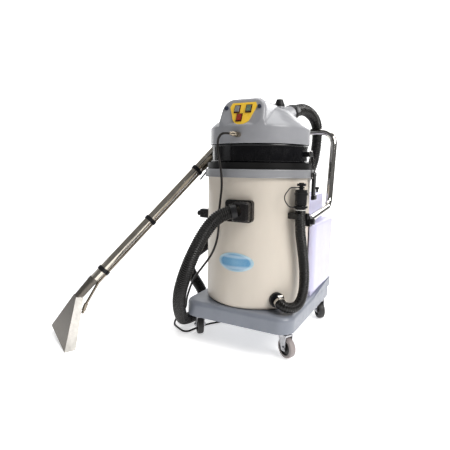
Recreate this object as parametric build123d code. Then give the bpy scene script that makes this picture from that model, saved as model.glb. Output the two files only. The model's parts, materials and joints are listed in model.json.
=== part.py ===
"""Spot extractor: a wheeled base with a recovery tank, vacuum head, clean-water tank, hoses and wand.

Millimetres, +Z up, floor at z = 0. Pieces are drawn about the recovery tank's upright axis, with the
machine's front towards -Y, and moved by FRAME_SHIFT when they are written, so that the origin is the
centre of the floor that the rigid pieces cover.
"""
import math
import os

from build123d import *

FRAME_SHIFT = (230.5, 77.4, 0)

# Base and recovery tank
BASE_HALF_WIDTH = 215
BASE_FRONT = -207
BASE_REAR = 354
BASE_BOTTOM = 100
DECK_TOP = 159
BASE_WALL = 5
WING_TOP = 182
WING_WIDTH = 13
TANK_RADIUS = 195
TANK_WALL = 4
TANK_TOP = 628
FLANGE_RADIUS = 205.5
FLANGE_TOP = 657

# Vacuum head
LIP_RADIUS = 197
LIP_TOP = 680
BAND_RADIUS = 180
BAND_TOP = 744
RIM_RADIUS = 187
RIM_TOP = 804
HEAD_WALL = 4
HEAD_TOP = 898
PANEL_TILT = 22
PANEL_CENTRE = (3, -161, 848)
BLOCK_FOOT = 91
BLOCK_HEAD = 80

# Clean-water tank
CLEAN_HALF_WIDTH = 214
CLEAN_FRONT = 60
CLEAN_REAR = 345
CLEAN_STEP = 452
CLEAN_TOP = 561
CLEAN_WALL = 4
NECK_CENTRE = (0, 256)

# Handle
HANDLE_RADIUS = 14
HANDLE_FRONT = (211.5, -45, 477)
HANDLE_BACK = (200, 304, 500)
HANDLE_CORNER = (200, 349, 822)

# Casters: swivel centre, and the way the wheel trails in degrees
CASTERS = {
    "front_right": ((174, -143), -31),
    "front_left": ((-174, -143), 131),
    "rear_right": ((180, 292), -52),
    "rear_left": ((-180, 292), 128),
}
WHEEL_RADIUS = 37.5
WHEEL_WIDTH = 24
TRAIL = 17
AXLE_RADIUS = 5
KINGPIN_RADIUS = 6
FORK_TOP = 85

# Latches, one on each side of the flange
LATCH_Y = 12
LATCH_PIVOT_X = 213
LATCH_PIVOT_Z = 640
BAIL_PIVOT_Z = 628
BAIL_TOP_X = 197
BAIL_TOP_Z = 724
BAIL_RADIUS = 1.5

# Inlet, label, drain
INLET_CENTRE = (15, 514)
DRAIN_HOSE_RADIUS = 18.5
DRAIN_STAND = (203, -103)
PLUG_TRAVEL = 34

# Wand: a point of the nozzle's mouth, the neck's foot, the tube's start and its direction
MOUTH_CENTRE = Vector(-598, -452, 14.6)
MOUTH_DIRECTION = Vector(-0.8822, 0.4519, 0.1321).normalized()
MOUTH_WIDTH = 216
MOUTH_DEPTH = 38
NECK_SIZE = (30, 28)
NECK_FOOT = Vector(-546, -414, 175)
WAND_START = Vector(-522, -372.4, 224.2)
WAND_DIRECTION = Vector(0.4044, 0.5835, 0.7043).normalized()
WAND_PIPE_SIDE = Vector(0.614, 0.393, -0.678).normalized()
WAND_LENGTH = 870
WAND_RADIUS = 16
PIPE_RADIUS = 5
PIPE_OFFSET = 21.5
BAND_PLACES = (62, 325, 607)
JET_PLACE = NECK_FOOT + WAND_PIPE_SIDE * 35 + Vector(0, 0, -8)
VALVE_START = 622
VALVE_END = 680
VALVE_PLACE = (15.2, 25.2)
TRIGGER_PIN = 672
CUFF_START = 800
SOCKET_START = 846
SOCKET_RADIUS = 24

# Hoses
HOSE_RADIUS = 24
CUFF_SPIGOT = 21
LINE_RADIUS = 4
RUN_SHARE = 0.45

VACUUM_ROUTE = [
    (12, -222, 515), (-22, -246, 506), (-46, -274, 482), (-66, -302, 440), (-84, -322, 392),
    (-104, -332, 340), (-130, -328, 280), (-160, -308, 218), (-192, -266, 152), (-232, -196, 86),
    (-270, -126, 38), (-272, -62, 26), (-258, -4, 32), (-262, 36, 66), (-284, 46, 116),
    (-312, 28, 168), (-326, 0, 222), (-309, -4, 276), (-276, 36, 314), (-264, 110, 338),
    (-266, 190, 366), (-266, 276, 400), (-246, 362, 436), (-170, 408, 470), (-76, 416, 504),
    (12, 410, 550), (70, 402, 615), (98, 400, 685), (107, 400, 750), (110, 399, 808),
    (110, 391, 850), (104, 362, 882), (98, 312, 899), (94, 250, 905), (90, 180, 898),
    (86, 108, 877),
]
SOLUTION_ROUTE = [
    (-20, -210, 776), (-42, -221, 779), (-62, -215, 762), (-68, -209, 734), (-64, -207, 706),
    (-56, -209, 672), (-49, -211, 634), (-47, -212, 590), (-53, -212, 545), (-58, -212, 495),
    (-58, -211, 445), (-68, -208, 395), (-92, -204, 345), (-130, -206, 295), (-172, -196, 246),
    (-206, -172, 196), (-236, -150, 140), (-256, -122, 98), (-282, -99, 72), (-310, -90, 44),
    (-328, -97, 16), (-320, -118, 4.3), (-297, -133, 4.3), (-270, -147, 4.3), (-247, -158, 4.3),
    (-229, -151, 4.3), (-222, -124, 4.3), (-214, -88, 4.3), (-196, -40, 4.3), (-150, 20, 4.3),
    (-130, 90, 4.3), (-160, 148, 4.3), (-204, 176, 6), (-230, 196, 34), (-230, 204, 90),
    (-228, 206, 170), (-229, 203, 260), (-228, 206, 350), (-229, 204, 440), (-230, 180, 520),
    (-232, 152, 595), (-230, 124, 650), (-225, 92, 688), (-219, 60, 709), (-215.4, 36, 716.5),
    (-212, 23.3, 710.5), (-216.9, 16.3, 702),
]
DRAIN_ROUTE = [
    (155, -155, 199), (172, -171, 192), (196, -158, 183), (214, -126, 184), (221, -94, 212),
    (220, -76, 262), (216, -80, 330), (209, -92, 400), (203, -103, 456), (203, -103, 538),
]


def at(shape, *place):
    """The shape moved to a place."""
    return shape.moved(Location(place))


def upright(radius, bottom, top, centre=(0, 0)):
    """A solid upright cylinder between two heights."""
    return at(Cylinder(radius, top - bottom), centre[0], centre[1], (bottom + top) / 2)


def ring(outer, inner, bottom, top, centre=(0, 0)):
    return upright(outer, bottom, top, centre) - upright(inner, bottom - 1, top + 1, centre)


def block(x_range, y_range, z_range):
    """A box between two values on each axis."""
    sides = [(min(pair), max(pair)) for pair in (x_range, y_range, z_range)]
    sizes = [high - low for low, high in sides]
    middle = [(high + low) / 2 for low, high in sides]
    return at(Box(*sizes), *middle)


def bar_between(start, end, radius):
    """A round bar from one point to another."""
    start, end = Vector(start), Vector(end)
    plane = Plane(origin=start, z_dir=end - start)
    return extrude(plane * Circle(radius), (end - start).length)


def mirrored(solid):
    return mirror(solid, about=Plane.YZ)


def route_radii(points):
    """Each corner's radius: as large as its two runs allow."""
    vectors = [Vector(point) for point in points]
    radii = []
    for before, corner, after in zip(vectors, vectors[1:], vectors[2:]):
        turn = math.radians((corner - before).get_angle(after - corner))
        run = min((corner - before).length, (after - corner).length)
        radii.append(RUN_SHARE * run / math.tan(turn / 2))
    return radii


def hose(points, radius, name):
    """A plain tube along straight runs that are joined by tangent arcs."""
    radii = route_radii(points)
    path = FilletPolyline(*points, radius=radii)
    start = Plane(origin=path @ 0, z_dir=path % 0)
    tube = sweep(start * Circle(radius), path=path)
    share = tube.volume / (math.pi * radius ** 2 * path.length)
    rounded = [round(value) for value in radii]
    print(f"{name}: {path.length:.0f} mm long, volume share {share:.3f}, radii {rounded}")
    return tube


# Base and casters

def base_shell():
    """A moulded tray, open below, with raised sides about the clean-water tank's foot."""
    depth = BASE_REAR - BASE_FRONT
    middle = (BASE_REAR + BASE_FRONT) / 2

    def tray(inset, bottom, top):
        plan = RectangleRounded(2 * (BASE_HALF_WIDTH - inset), depth - 2 * inset, 56 - inset)
        return at(extrude(plan, top - bottom), 0, middle, bottom)

    shell = tray(0, BASE_BOTTOM, DECK_TOP)
    shell = fillet(shell.faces().sort_by(Axis.Z)[-1].edges(), 17)
    wing_outline = [(20, 140), (110, 154), (BASE_REAR - 14, WING_TOP), (BASE_REAR - 14, 140)]
    wing_face = make_face(Plane.YZ * Polyline(*wing_outline, close=True))
    wing = at(extrude(wing_face, WING_WIDTH / 2, both=True), BASE_HALF_WIDTH - 1 - WING_WIDTH / 2, 0, 0)
    rear = block((-150, 150), (BASE_REAR - 8, BASE_REAR - 0.5), (140, WING_TOP))
    shell = shell + wing + mirrored(wing) + rear
    shell -= tray(BASE_WALL, BASE_BOTTOM - 1, DECK_TOP - BASE_WALL)
    for centre, _ in CASTERS.values():
        shell += upright(25, BASE_BOTTOM, DECK_TOP - BASE_WALL, centre)
    return shell


def caster_mount(centre):
    """The fixed race and kingpin of one caster."""
    race = upright(23, FORK_TOP + 0.4, BASE_BOTTOM, centre)
    return race + upright(KINGPIN_RADIUS, FORK_TOP - 8, BASE_BOTTOM, centre)


def caster_frame(name):
    """Where one caster's own X axis, its trailing way, lies."""
    (x, y), heading = CASTERS[name]
    return Location((x, y, 0), (0, 0, heading))


def caster_fork(name):
    crown = upright(22, FORK_TOP - 6, FORK_TOP)
    crown += block((-10, TRAIL + 10), (-16.5, 16.5), (FORK_TOP - 6, FORK_TOP))
    crown -= upright(KINGPIN_RADIUS + 0.05, 0, BASE_BOTTOM)
    outline = [(-14, FORK_TOP), (TRAIL + 12, FORK_TOP), (TRAIL + 9, 28), (TRAIL - 9, 28)]
    cheek = extrude(make_face(Plane.XZ * Polyline(*outline, close=True)), 1.5, both=True)
    fork = crown + at(cheek, 0, 15, 0) + at(cheek, 0, -15, 0)
    axle = bar_between((TRAIL, -18.5, WHEEL_RADIUS), (TRAIL, 18.5, WHEEL_RADIUS), AXLE_RADIUS)
    return (fork + axle).moved(caster_frame(name))


def caster_wheel(name):
    tread = Rot(90, 0, 0) * Cylinder(WHEEL_RADIUS, WHEEL_WIDTH)
    tread = fillet(tread.edges().filter_by(GeomType.CIRCLE), 4)
    dish = Rot(90, 0, 0) * Cylinder(24, 5)
    tread -= at(dish, 0, WHEEL_WIDTH / 2, 0) + at(dish, 0, -WHEEL_WIDTH / 2, 0)
    hub = Rot(90, 0, 0) * Cylinder(10, WHEEL_WIDTH)
    bore = Rot(90, 0, 0) * Cylinder(AXLE_RADIUS + 0.05, 2 * WHEEL_WIDTH)
    return at(tread + hub - bore, TRAIL, 0, WHEEL_RADIUS).moved(caster_frame(name))


# Recovery tank

def recovery_tank():
    outer = upright(TANK_RADIUS, DECK_TOP + 0.3, TANK_TOP)
    outer = fillet(outer.edges().sort_by(Axis.Z)[0], 14)
    inner = upright(TANK_RADIUS - TANK_WALL, DECK_TOP + 6, TANK_TOP + 1)
    inner = fillet(inner.edges().sort_by(Axis.Z)[0], 10)
    return outer - inner


def latch_bracket():
    """Two ears and a pin that carry one latch lever on the flange, on the machine's right."""
    ears = Part()
    for side in (-1, 1):
        near = LATCH_Y + side * 13.6
        ears += block((200, 217), (near, near + side * 3.4), (632, 648))
    ears -= upright(FLANGE_RADIUS + 0.1, 600, 660)
    pin = bar_between((LATCH_PIVOT_X, LATCH_Y - 15, LATCH_PIVOT_Z),
                      (LATCH_PIVOT_X, LATCH_Y + 15, LATCH_PIVOT_Z), 2)
    return ears + pin


def tank_flange():
    """The ring round the tank's mouth."""
    return ring(FLANGE_RADIUS, TANK_RADIUS - TANK_WALL, TANK_TOP, FLANGE_TOP)


# Vacuum head

def head_lip():
    """The soft black ring that seals the head on the flange."""
    return ring(LIP_RADIUS, 172, FLANGE_TOP, LIP_TOP)


def motor_band():
    """The black drum between lip and cover, with the plate that the motor stands on."""
    drum = ring(BAND_RADIUS, BAND_RADIUS - HEAD_WALL, LIP_TOP, BAND_TOP)
    plate = ring(BAND_RADIUS, 32, LIP_TOP, LIP_TOP + 6)
    return drum + plate


def dome(inset):
    """The head's round body, made smaller by an inset on every side."""
    rim = RIM_RADIUS - inset
    low = BAND_TOP - (1 if inset else 0)
    with BuildPart() as body:
        with BuildSketch(Plane.XZ):
            with BuildLine():
                Polyline((0, low), (rim, low), (rim, RIM_TOP))
                Spline((rim, RIM_TOP), (150 - inset, 836 - inset), (112 - inset, 865 - inset),
                       (60, 888 - inset), (0, HEAD_TOP - inset),
                       tangents=((-0.55, 0.8), (-1, 0)))
                Line((0, HEAD_TOP - inset), (0, low))
            make_face()
        revolve(axis=Axis.Z)
    return body.part


def control_block(inset):
    """The raised front of the head, which narrows upwards and whose face leans back."""
    lean = math.tan(math.radians(PANEL_TILT))
    low, top = BAND_TOP + 40, HEAD_TOP + 1 - inset
    front_low = PANEL_CENTRE[1] - lean * (PANEL_CENTRE[2] - low) + inset
    side_view = [(front_low, low), (front_low + lean * (top - low), top), (0, top), (0, low)]
    body = extrude(make_face(Plane.YZ * Polyline(*side_view, close=True)), 120, both=True)
    foot, head = BLOCK_FOOT - inset, BLOCK_HEAD - inset
    front_view = [(-foot, low), (-head, top), (head, top), (foot, low)]
    outline = make_face(Plane.XZ * Polyline(*front_view, close=True))
    outline = fillet(outline.vertices().group_by(Axis.Z)[-1], 44 - inset)
    body &= extrude(outline, 240, both=True)
    front = [edge for edge in body.edges() if edge.center().Y < -100 and edge.center().Z > low + 5]
    return fillet(front, 13 - inset)


def head_cover():
    """The moulded cover: round shoulder, front control block and the socket housing at the rear right."""
    cover = dome(0) + (control_block(0) & upright(RIM_RADIUS, 700, 950))
    cover += port_housing()
    cover -= dome(HEAD_WALL) + (control_block(HEAD_WALL) & upright(RIM_RADIUS - HEAD_WALL, 700, 950))
    cover += upright(19, HEAD_TOP - 30, HEAD_TOP - 1.3, (52, 62))
    cover -= extrude(panel_plane(0.1) * offset(panel_shield(), 0.4), 20)
    mouth, inward = port_line()
    return cover - bar_between(mouth + inward * 45, mouth - inward * 20, CUFF_SPIGOT + 0.1)


def port_line():
    """The blow port's mouth and the way into the head, in line with the hose's last run."""
    last, before = Vector(*VACUUM_ROUTE[-1]), Vector(*VACUUM_ROUTE[-2])
    inward = (last - before).normalized()
    return last, inward


def port_housing():
    """A short barrel on the shoulder that takes the blow port's hose cuff."""
    mouth, inward = port_line()
    return bar_between(mouth + inward * 1, mouth + inward * 100, 28.5) - dome(HEAD_WALL)


def panel_plane(offset):
    """The control panel's plane, offset outwards."""
    tilt = math.radians(PANEL_TILT)
    normal = Vector(0, -math.cos(tilt), math.sin(tilt))
    return Plane(origin=Vector(*PANEL_CENTRE) + normal * offset, x_dir=(1, 0, 0), z_dir=normal)


def panel_shield():
    """The panel's outline: straight top, sides that close to a round foot."""
    with BuildSketch() as shield:
        with BuildLine():
            Polyline((-36, -14), (-51, 22), (-44, 37), (44, 37), (51, 22), (36, -14))
            ThreePointArc((36, -14), (0, -45), (-36, -14))
        make_face()
    return shield.sketch


def control_panel():
    """The shield-shaped plate that the switches sit in."""
    plate = extrude(panel_plane(0.3) * panel_shield(), 2.5)
    for x, y in SWITCHES.values():
        plate -= extrude(panel_plane(-1) * Pos(x, y) * Rectangle(SWITCH_SIZE[0] + 0.2, SWITCH_SIZE[1] + 0.2), 6)
    return plate


SWITCHES = {"vacuum": (-21, 13), "pump": (22, 13), "heater": (-8, -19)}
SWITCH_SIZE = (20, 27)
ROCKER_TILT = -8


def switch_bezel(name):
    """A switch's frame, with a flange that stands on the panel."""
    x, y = SWITCHES[name]
    width, height = SWITCH_SIZE
    frame = Rectangle(width, height) - Rectangle(width - 4, height - 4)
    flange = Rectangle(width + 2.5, height + 2.5) - Rectangle(width - 4, height - 4)
    body = extrude(panel_plane(0.5) * Pos(x, y) * frame, 3)
    return body + extrude(panel_plane(3) * Pos(x, y) * flange, 1.6)


def rocker(name):
    """One rocker, resting in its off position with its foot pressed in."""
    x, y = SWITCHES[name]
    body = extrude(Plane.XY * Rectangle(SWITCH_SIZE[0] - 4.6, SWITCH_SIZE[1] - 5.6), 5)
    body += Rot(0, 90, 0) * Cylinder(1, SWITCH_SIZE[0] - 4.6)
    return panel_plane(3.4) * Pos(x, y) * Rot(ROCKER_TILT, 0, 0) * body


def head_buttons():
    """Two round screw covers beside the panel."""
    plugs = Part()
    for x in (-65, 59):
        plugs += extrude(panel_plane(0.3) * Pos(x, 20) * Circle(7), 4)
    return plugs


def carry_grip():
    """A low arched grip on the head's top."""
    path = FilletPolyline((-52, -28, 901), (-44, -28, 912), (14, -28, 912), (22, -28, 901), radius=8)
    start = Plane(origin=path @ 0, z_dir=path % 0)
    return sweep(start * RectangleRounded(7, 16, 3), path=path)


def bleed_cap():
    """A tapered cap over the relief valve on the head."""
    with BuildPart() as cap:
        with BuildSketch(Plane.XZ):
            with BuildLine():
                Polyline((0, 897), (20, 897), (20, 901), (12, 922), (0, 922), close=True)
            make_face()
        revolve(axis=Axis.Z)
    return at(cap.part, 52, 62, 0)


def motor_body():
    """The motor on its bell, which stands on the plate round the fan."""
    bell = ring(72, 66, LIP_TOP + 6, 718) + upright(72, 712, 718)
    return bell + upright(58, 718, 800) + upright(30, 800, 812)


def motor_fan():
    """The fan under the motor and its shaft."""
    fan = upright(60, 694, 708) - ring(52, 24, 698, 720)
    return fan + upright(6, 690, 711)


def float_cage():
    """A basket under the motor plate, which guides the float ball."""
    cage = ring(40, 36, 575, LIP_TOP) + upright(40, 572, 577)
    for turn in range(6):
        slot = block((20, 60), (-12, 12), (590, 655))
        cage -= Rot(0, 0, 60 * turn) * slot
    return cage


def float_ball():
    return at(Sphere(30), 0, 0, 607.5)


# Inlet and label

def inlet_plate():
    """The suction inlet: a plate on the tank with an elbow housing, whose mouth faces the hose."""
    x, z = INLET_CENTRE
    plate = extrude(Plane.XZ.offset(186) * Pos(x, z) * RectangleRounded(102, 77, 12), 20)
    housing = extrude(Plane.XZ.offset(190) * Pos(x + 18, z) * RectangleRounded(62, 70, 10), 46)
    housing = chamfer(housing.faces().sort_by(Axis.Y)[0].edges(), 7)
    body = plate + housing - upright(TANK_RADIUS + 0.2, 400, 700)
    first, second = (Vector(*point) for point in VACUUM_ROUTE[:2])
    way = (second - first).normalized()
    return body - bar_between(first - way * 30, first + way * 30, HOSE_RADIUS + 4.1)


def hose_cuffs():
    """The end cuffs of the vacuum hose, one in the inlet and one in the blow port."""
    first, second = (Vector(*point) for point in VACUUM_ROUTE[:2])
    way = (second - first).normalized()
    inlet = bar_between(first - way * 3, first + way * 17, HOSE_RADIUS + 4)
    inlet -= bar_between(first, first + way * 40, HOSE_RADIUS + 0.4)
    mouth, inward = port_line()
    port = bar_between(mouth + inward * 35, mouth, CUFF_SPIGOT)
    port += bar_between(mouth + inward * 0.9, mouth - inward * 26, HOSE_RADIUS + 3)
    port -= bar_between(mouth, mouth - inward * 60, HOSE_RADIUS + 0.4)
    return inlet + port


def label_plate():
    """An oval badge that follows the tank's side."""
    oval = extrude(Plane.XZ.offset(150) * Pos(0, 330) * Ellipse(68.5, 34), 60)
    return oval & ring(TANK_RADIUS + 1.6, TANK_RADIUS + 0.1, 280, 380)


# Drain

def drain_elbow():
    """The outlet that is screwed into the tank's side, low at the front right."""
    start = Vector(*DRAIN_ROUTE[0])
    outward = Vector(1, -1, 0).normalized()
    root = Vector(137, -137, 200)
    nut = bar_between(root + outward * 1.6, root + outward * 12, 27)
    nut -= upright(TANK_RADIUS + 0.2, 150, 260)
    stub = bar_between(root + outward * 4, start, 15.5) - upright(TANK_RADIUS + 0.2, 150, 260)
    way = Vector(*DRAIN_ROUTE[1]) - start
    return nut + stub - bar_between(start, start + way, 40)


def drain_clamp():
    """The worm-drive clamp on the drain hose's lower end."""
    first, second = (Vector(*point) for point in DRAIN_ROUTE[:2])
    way = (second - first).normalized()
    band = bar_between(first + way * 2, first + way * 12, DRAIN_HOSE_RADIUS + 1.6)
    band -= bar_between(first - way * 5, first + way * 20, DRAIN_HOSE_RADIUS + 0.1)
    screw = first + way * 7 + Vector(0, 0, DRAIN_HOSE_RADIUS + 5)
    side = way.cross(Vector(0, 0, 1)).normalized()
    room = bar_between(first, first + way * 20, DRAIN_HOSE_RADIUS + 0.1)
    return band + bar_between(screw - side * 9, screw + side * 9, 4.5) - room


def drain_cuff():
    cuff = ring(20.5, 11.2, 538, 590, DRAIN_STAND)
    return fillet(cuff.edges().sort_by(Axis.Z)[-1], 1.5) + ring(23, 11.2, 572, 580, DRAIN_STAND)


def drain_plug():
    """The stopper in the hose's end, with a finger flange."""
    plug = upright(11, 560, 592, DRAIN_STAND) + upright(7, 592, 603, DRAIN_STAND)
    return plug + upright(15.5, 603, 611, DRAIN_STAND) + upright(9, 611, 614, DRAIN_STAND)


def plug_strap():
    """The loop that keeps the stopper on the hose."""
    x, y = DRAIN_STAND
    path = FilletPolyline((x - 6, y - 7, 597.6), (x - 28, y - 32, 598), (x - 46, y - 54, 565),
                          (x - 30, y - 36, 532), (x - 14, y - 17, 531), radius=(16, 24, 20))
    start = Plane(origin=path @ 0, z_dir=path % 0)
    loop = sweep(start * Circle(1.8), path=path)
    return loop + ring(11, 7.1, 595, 600, DRAIN_STAND) + ring(24, 20.7, 528, 534, DRAIN_STAND)


def drain_clip():
    """The clip that holds the drain hose upright against the tank."""
    x, y = DRAIN_STAND
    turn = math.degrees(math.atan2(y, x))
    body = Rot(0, 0, turn) * block((190, 246), (-26, 26), (489, 509))
    body -= upright(DRAIN_HOSE_RADIUS + 0.3, 480, 520, DRAIN_STAND)
    body -= upright(TANK_RADIUS + 0.2, 480, 520)
    mouth = Rot(0, 0, turn) * block((232, 260), (-14, 14), (480, 520))
    return (body - mouth).solids().sort_by(SortBy.VOLUME)[-1]


# Handle

def handle_tube():
    right = [HANDLE_FRONT, HANDLE_BACK, HANDLE_CORNER]
    left = [(-x, y, z) for x, y, z in reversed(right)]
    path = FilletPolyline(*right, *left, radius=(52, 55, 55, 52))
    start = Plane(origin=path @ 0, z_dir=path % 0)
    section = Circle(HANDLE_RADIUS) - Circle(HANDLE_RADIUS - 1.5)
    return sweep(start * section, path=path)


def handle_bracket():
    """The block on the tank's right side that the handle's end sits in."""
    x, y, z = HANDLE_FRONT
    body = block((180, 227), (y - 20, y + 14), (z - 18, z + 18))
    body = fillet(body.edges().filter_by(Axis.X), 6)
    body -= upright(TANK_RADIUS + 0.2, 440, 520)
    along = (Vector(*HANDLE_BACK) - Vector(*HANDLE_FRONT)).normalized()
    body -= bar_between(Vector(*HANDLE_FRONT), Vector(*HANDLE_FRONT) + along * 60, HANDLE_RADIUS + 0.05)
    return body - bar_between((222, y - 10, z), (240, y - 10, z), 4.05)


def handle_knob():
    """The clamp screw's knob on the machine's right."""
    _, y, z = HANDLE_FRONT
    knob = bar_between((227.5, y - 10, z), (241, y - 10, z), 10.5)
    knob = fillet(knob.edges().sort_by(Axis.X)[-1], 3)
    for turn in range(8):
        angle = math.radians(45 * turn)
        place = (y - 10 + 12.3 * math.cos(angle), z + 12.3 * math.sin(angle))
        knob -= bar_between((230, *place), (256, *place), 2.8)
    return knob + bar_between((222.5, y - 10, z), (229, y - 10, z), 4)


# Latches, drawn on the machine's right

def latch_lever():
    outline = RectangleRounded(9, 98, 4)
    body = extrude(Plane.XZ.offset(-LATCH_Y - 13) * Pos(LATCH_PIVOT_X - 0.5, 597) * outline, 26)
    tip = block((LATCH_PIVOT_X - 5, LATCH_PIVOT_X + 9), (LATCH_Y - 13, LATCH_Y + 13), (549, 566))
    body += fillet(tip.edges().filter_by(Axis.Y), 3)
    return body - bar_between((LATCH_PIVOT_X, -20, LATCH_PIVOT_Z), (LATCH_PIVOT_X, 50, LATCH_PIVOT_Z), 2.05) \
        - bar_between((LATCH_PIVOT_X, -20, BAIL_PIVOT_Z), (LATCH_PIVOT_X, 50, BAIL_PIVOT_Z), BAIL_RADIUS + 0.05)


def latch_bail():
    """The wire loop from the lever up over the catch."""
    low, high = LATCH_Y - 20, LATCH_Y + 20
    points = [(LATCH_PIVOT_X, LATCH_Y - 8, BAIL_PIVOT_Z), (LATCH_PIVOT_X, low, BAIL_PIVOT_Z),
              (BAIL_TOP_X, low, BAIL_TOP_Z), (BAIL_TOP_X, high, BAIL_TOP_Z),
              (LATCH_PIVOT_X, high, BAIL_PIVOT_Z), (LATCH_PIVOT_X, LATCH_Y + 8, BAIL_PIVOT_Z)]
    path = FilletPolyline(*points, radius=4)
    start = Plane(origin=path @ 0, z_dir=path % 0)
    return sweep(start * Circle(BAIL_RADIUS), path=path)


def latch_catch():
    """The hook on the motor band that the bail pulls on, on the machine's right."""
    return block((BAND_RADIUS + 0.3, 201), (LATCH_Y - 14, LATCH_Y + 14), (704, BAIL_TOP_Z - BAIL_RADIUS - 1))


# Clean-water tank

def clean_form(inset):
    """The tank's outer form, made smaller by an inset on every side."""
    half = CLEAN_HALF_WIDTH - inset
    front, rear = CLEAN_FRONT + inset, CLEAN_REAR - inset
    foot = block((-199 + inset, 199 - inset), (front + 20, rear - 3), (DECK_TOP + 0.4 + inset, 200))
    lower = block((-half, half), (front, rear), (WING_TOP + 1.5 + inset, CLEAN_STEP - inset))
    lower = fillet(lower.edges().filter_by(Axis.Z), 22 - inset)
    lower = fillet(lower.faces().sort_by(Axis.Z)[-1].edges(), 11 - inset)
    upper = block((-176 + inset, 176 - inset), (100, 308 - inset), (CLEAN_STEP - 40, CLEAN_TOP - inset))
    upper = fillet(upper.edges().filter_by(Axis.Z), 20 - inset)
    upper = fillet(upper.faces().sort_by(Axis.Z)[-1].edges(), 10 - inset)
    return foot + lower + upper - upright(TANK_RADIUS + 5 + inset, 100, 700)


def clean_tank():
    """A blow-moulded tank that wraps the recovery tank's back, hollow, with a filler neck."""
    outside = clean_form(0) + upright(27, CLEAN_TOP - 2, CLEAN_TOP + 12, NECK_CENTRE)
    return outside - clean_form(CLEAN_WALL) - upright(23, CLEAN_TOP - 20, CLEAN_TOP + 20, NECK_CENTRE)


def clean_cap():
    cap = upright(33, CLEAN_TOP + 2, CLEAN_TOP + 18, NECK_CENTRE)
    cap -= upright(27.3, CLEAN_TOP, CLEAN_TOP + 13, NECK_CENTRE)
    for turn in range(12):
        angle = math.radians(30 * turn)
        place = (NECK_CENTRE[0] + 35 * math.cos(angle), NECK_CENTRE[1] + 35 * math.sin(angle))
        cap -= upright(4, CLEAN_TOP, CLEAN_TOP + 20, place)
    return cap


def vent_cap():
    """The small vent stopper at the clean tank's rear right."""
    return upright(5, CLEAN_TOP + 0.2, CLEAN_TOP + 12, (152, 286)) + \
        upright(8, CLEAN_TOP + 12, CLEAN_TOP + 22, (152, 286))


def pump():
    """The solution pump under the deck."""
    body = bar_between((-45, 150, 128), (35, 150, 128), 21)
    return body + block((34, 78), (130, 170), (108, 150))


# Wand

def wand_point(along, aside=0.0, forward=0.0):
    """A point beside the wand's tube: along it, towards its pipe and across both."""
    across = WAND_PIPE_SIDE.cross(WAND_DIRECTION).normalized()
    return WAND_START + WAND_DIRECTION * along + WAND_PIPE_SIDE * aside + across * forward


def valve_point(along, aside=0.0, forward=0.0):
    """A point about the valve's own axis, beside the wand's tube."""
    return wand_point(along, VALVE_PLACE[0] + aside, VALVE_PLACE[1] + forward)


def nozzle_form(inset):
    """A flat fan from the neck to the mouth."""
    down = (MOUTH_CENTRE - NECK_FOOT).normalized()
    level = Vector(MOUTH_DIRECTION.Y, -MOUTH_DIRECTION.X, 0)
    foot = Plane(origin=MOUTH_CENTRE, x_dir=MOUTH_DIRECTION, z_dir=level.cross(MOUTH_DIRECTION))
    head = Plane(origin=NECK_FOOT, x_dir=MOUTH_DIRECTION, z_dir=-down)
    mouth = foot * Rectangle(MOUTH_WIDTH - 2 * inset, MOUTH_DEPTH - 2 * inset)
    throat = head * Rectangle(NECK_SIZE[0] - 2 * inset, NECK_SIZE[1] - 2 * inset)
    return loft([mouth, throat])


def wand_nozzle():
    """The fan-shaped head of bent sheet and the neck that turns it to the tube."""
    across = Plane(origin=NECK_FOOT, x_dir=MOUTH_DIRECTION, z_dir=NECK_FOOT - MOUTH_CENTRE)
    collar = Plane(origin=WAND_START, x_dir=MOUTH_DIRECTION, z_dir=WAND_DIRECTION)
    wide, deep = NECK_SIZE
    outside = loft([across * RectangleRounded(wide, deep, 8), collar * RectangleRounded(35, 35, 17)])
    inside = loft([across * RectangleRounded(wide - 3, deep - 3, 7), collar * RectangleRounded(31, 31, 15)])
    ferrule = bar_between(wand_point(-1), wand_point(16), 18.5)
    ferrule -= bar_between(wand_point(-2), wand_point(20), WAND_RADIUS + 0.1)
    sheet = nozzle_form(0) + outside + ferrule - nozzle_form(1.5) - inside
    return sheet - pipe_run(PIPE_RADIUS + 0.2)


def wand_tube():
    return bar_between(wand_point(1.5), wand_point(SOCKET_START - 2), WAND_RADIUS) - \
        bar_between(wand_point(0), wand_point(WAND_LENGTH), WAND_RADIUS - 1.5)


def wand_bands():
    """Three moulded clamps that hold the solution pipe on the tube."""
    clamps = Part()
    for place in BAND_PLACES:
        around = bar_between(wand_point(place - 8), wand_point(place + 8), WAND_RADIUS + 3.5)
        bridge = bar_between(wand_point(place - 8, PIPE_OFFSET), wand_point(place + 8, PIPE_OFFSET), 8)
        clamp = around + bridge - bar_between(wand_point(place - 9), wand_point(place + 9), WAND_RADIUS + 0.1)
        clamps += clamp - bar_between(wand_point(place - 9, PIPE_OFFSET),
                                      wand_point(place + 9, PIPE_OFFSET), PIPE_RADIUS + 0.1)
    return clamps


def pipe_run(radius):
    """The solution pipe's run, from the valve along the tube to the jet behind the fan."""
    low = wand_point(14, PIPE_OFFSET)
    path = FilletPolyline(wand_point(VALVE_START - 4, PIPE_OFFSET), low, JET_PLACE, radius=40)
    start = Plane(origin=path @ 0, z_dir=path % 0)
    return sweep(start * Circle(radius), path=path)


def wand_pipe():
    """The solution pipe with its spray jet."""
    down = (MOUTH_CENTRE - NECK_FOOT).normalized()
    body = bar_between(JET_PLACE - down * 2, JET_PLACE + down * 26, 7.5)
    return pipe_run(PIPE_RADIUS) + body + bar_between(JET_PLACE + down * 24, JET_PLACE + down * 38, 5)


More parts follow.
